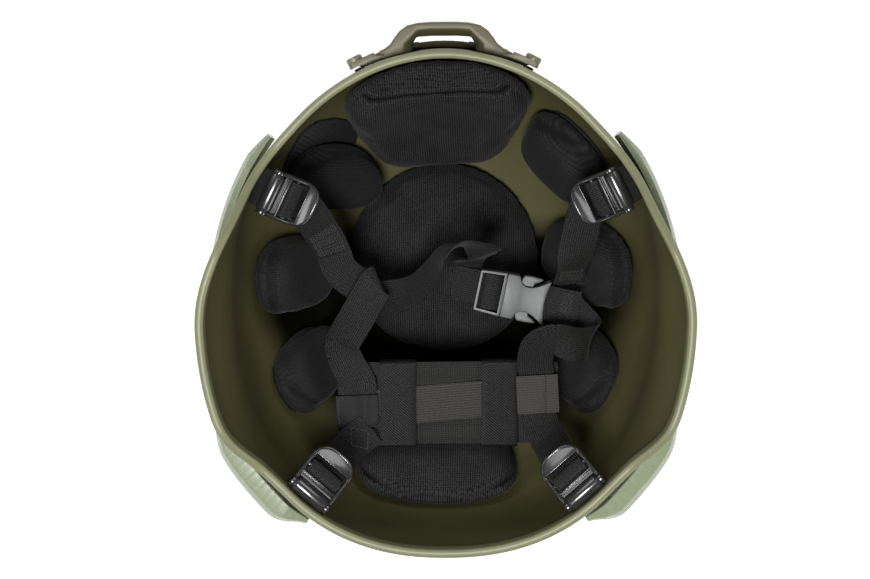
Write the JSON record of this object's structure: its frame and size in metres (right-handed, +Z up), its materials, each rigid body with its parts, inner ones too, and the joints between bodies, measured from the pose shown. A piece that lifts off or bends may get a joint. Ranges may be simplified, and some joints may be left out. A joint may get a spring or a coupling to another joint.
{
  "type": "combat helmet",
  "caption": "Open-faced combat helmet lying crown down, with foam pads, chin strap harness, side rails and a front shroud bracket.",
  "frame": {"origin": "under the crown, at the middle of the helmet's outline in plan, on the surface it lies on", "axes": "+X to the wearer's right as the bowl is seen from above, with the front at +Y; +Y to the brow and the front bracket; +Z up out of the bowl, which is down when the helmet is worn"},
  "size_m": [0.2558, 0.2772, 0.1738],
  "materials": {
    "shell_paint": "sand-textured olive drab paint over moulded ballistic fibre",
    "edging_rubber": "satin olive rubber",
    "bracket_polymer": "matt olive brown moulded polymer",
    "bracket_hardware": "olive brown painted steel screws",
    "dark_nuts": "blackened steel",
    "rail_polymer": "satin sage green glass-filled polymer",
    "spacer_rubber": "black rubber",
    "black_bolts": "black oxide steel",
    "lock_polymer": "glossy black acetal",
    "hook_tape": "black hook tape",
    "pad_knit": "black ribbed knit over foam",
    "strap_webbing": "black woven nylon webbing",
    "band_fabric": "black woven fabric",
    "elastic_webbing": "black ribbed elastic",
    "buckle_polymer": "dark grey satin acetal"
  },
  "bodies": {
    "helmet": {"shell": "shell_paint", "rim_edging": "edging_rubber", "front_bracket": "bracket_polymer", "bracket_screws": "bracket_hardware", "bracket_nuts": "dark_nuts", "rail_left": "rail_polymer", "rail_right": "rail_polymer", "rail_spacers": "spacer_rubber", "anchor_bolts": "black_bolts", "anchor_nuts": "dark_nuts", "anchor_tab_front_left": "lock_polymer", "anchor_tab_front_right": "lock_polymer", "anchor_tab_rear_left": "lock_polymer", "anchor_tab_rear_right": "lock_polymer", "hook_patches": "hook_tape", "crown_pad": "pad_knit", "brow_pad": "pad_knit", "nape_pad": "pad_knit", "front_pad_left": "pad_knit", "front_pad_right": "pad_knit", "side_pad_left": "pad_knit", "side_pad_right": "pad_knit", "rear_pad_left": "pad_knit", "rear_pad_right": "pad_knit", "strap_front_left": "strap_webbing", "strap_front_right": "strap_webbing", "strap_side_left": "strap_webbing", "strap_side_right": "strap_webbing", "strap_rear_left": "strap_webbing", "strap_rear_right": "strap_webbing", "chin_strap_left": "strap_webbing", "chin_strap_right": "strap_webbing", "nape_band": "band_fabric", "nape_webbing": "strap_webbing", "elastic_left": "elastic_webbing", "elastic_right": "elastic_webbing", "buckle_socket": "buckle_polymer"},
    "lock_front_left": {"ladder_lock_front_left": "lock_polymer"},
    "lock_front_right": {"ladder_lock_front_right": "lock_polymer"},
    "lock_rear_left": {"ladder_lock_rear_left": "lock_polymer"},
    "lock_rear_right": {"ladder_lock_rear_right": "lock_polymer"},
    "plug": {"buckle_plug": "buckle_polymer"},
    "arm_front": {"latch_arm_front": "buckle_polymer"},
    "arm_rear": {"latch_arm_rear": "buckle_polymer"}
  },
  "joints": [
    {"name": "lock_front_left_hinge", "type": "hinge", "parent": "helmet", "child": "lock_front_left", "pos_m": [-0.09118, 0.05156, 0.13001], "axis": [-0.4432, -0.8964, 0], "range_deg": [0, 60], "deforming": ["strap_front_left"]},
    {"name": "lock_front_right_hinge", "type": "hinge", "parent": "helmet", "child": "lock_front_right", "pos_m": [0.09118, 0.05156, 0.13001], "axis": [-0.4432, 0.8964, 0], "range_deg": [0, 60], "deforming": ["strap_front_right"]},
    {"name": "lock_rear_left_hinge", "type": "hinge", "parent": "helmet", "child": "lock_rear_left", "pos_m": [-0.07187, -0.10477, 0.154], "axis": [0.7451, -0.6669, 0], "range_deg": [0, 60], "deforming": ["strap_rear_left"]},
    {"name": "lock_rear_right_hinge", "type": "hinge", "parent": "helmet", "child": "lock_rear_right", "pos_m": [0.07187, -0.10477, 0.154], "axis": [0.7451, 0.6669, 0], "range_deg": [0, 60], "deforming": ["strap_rear_right"]},
    {"name": "buckle_release", "type": "slide", "parent": "helmet", "child": "plug", "axis": [-0.9781, 0.2079, 0], "range_m": [0, 0.025], "deforming": ["chin_strap_left", "latch_arm_front", "latch_arm_rear"]},
    {"name": "latch_front_flex", "type": "hinge", "parent": "plug", "child": "arm_front", "pos_m": [0.03695, -0.00339, 0.08], "axis": [0, 0, -1], "range_deg": [0, 8], "stiffness_Nm_per_rad": 0.05},
    {"name": "latch_rear_flex", "type": "hinge", "parent": "plug", "child": "arm_rear", "pos_m": [0.0335, -0.01963, 0.08], "axis": [0, 0, 1], "range_deg": [0, 8], "stiffness_Nm_per_rad": 0.05}
  ],
  "couplings": [
    {"joint": "latch_rear_flex", "follows": "latch_front_flex", "ratio": 1}
  ]
}
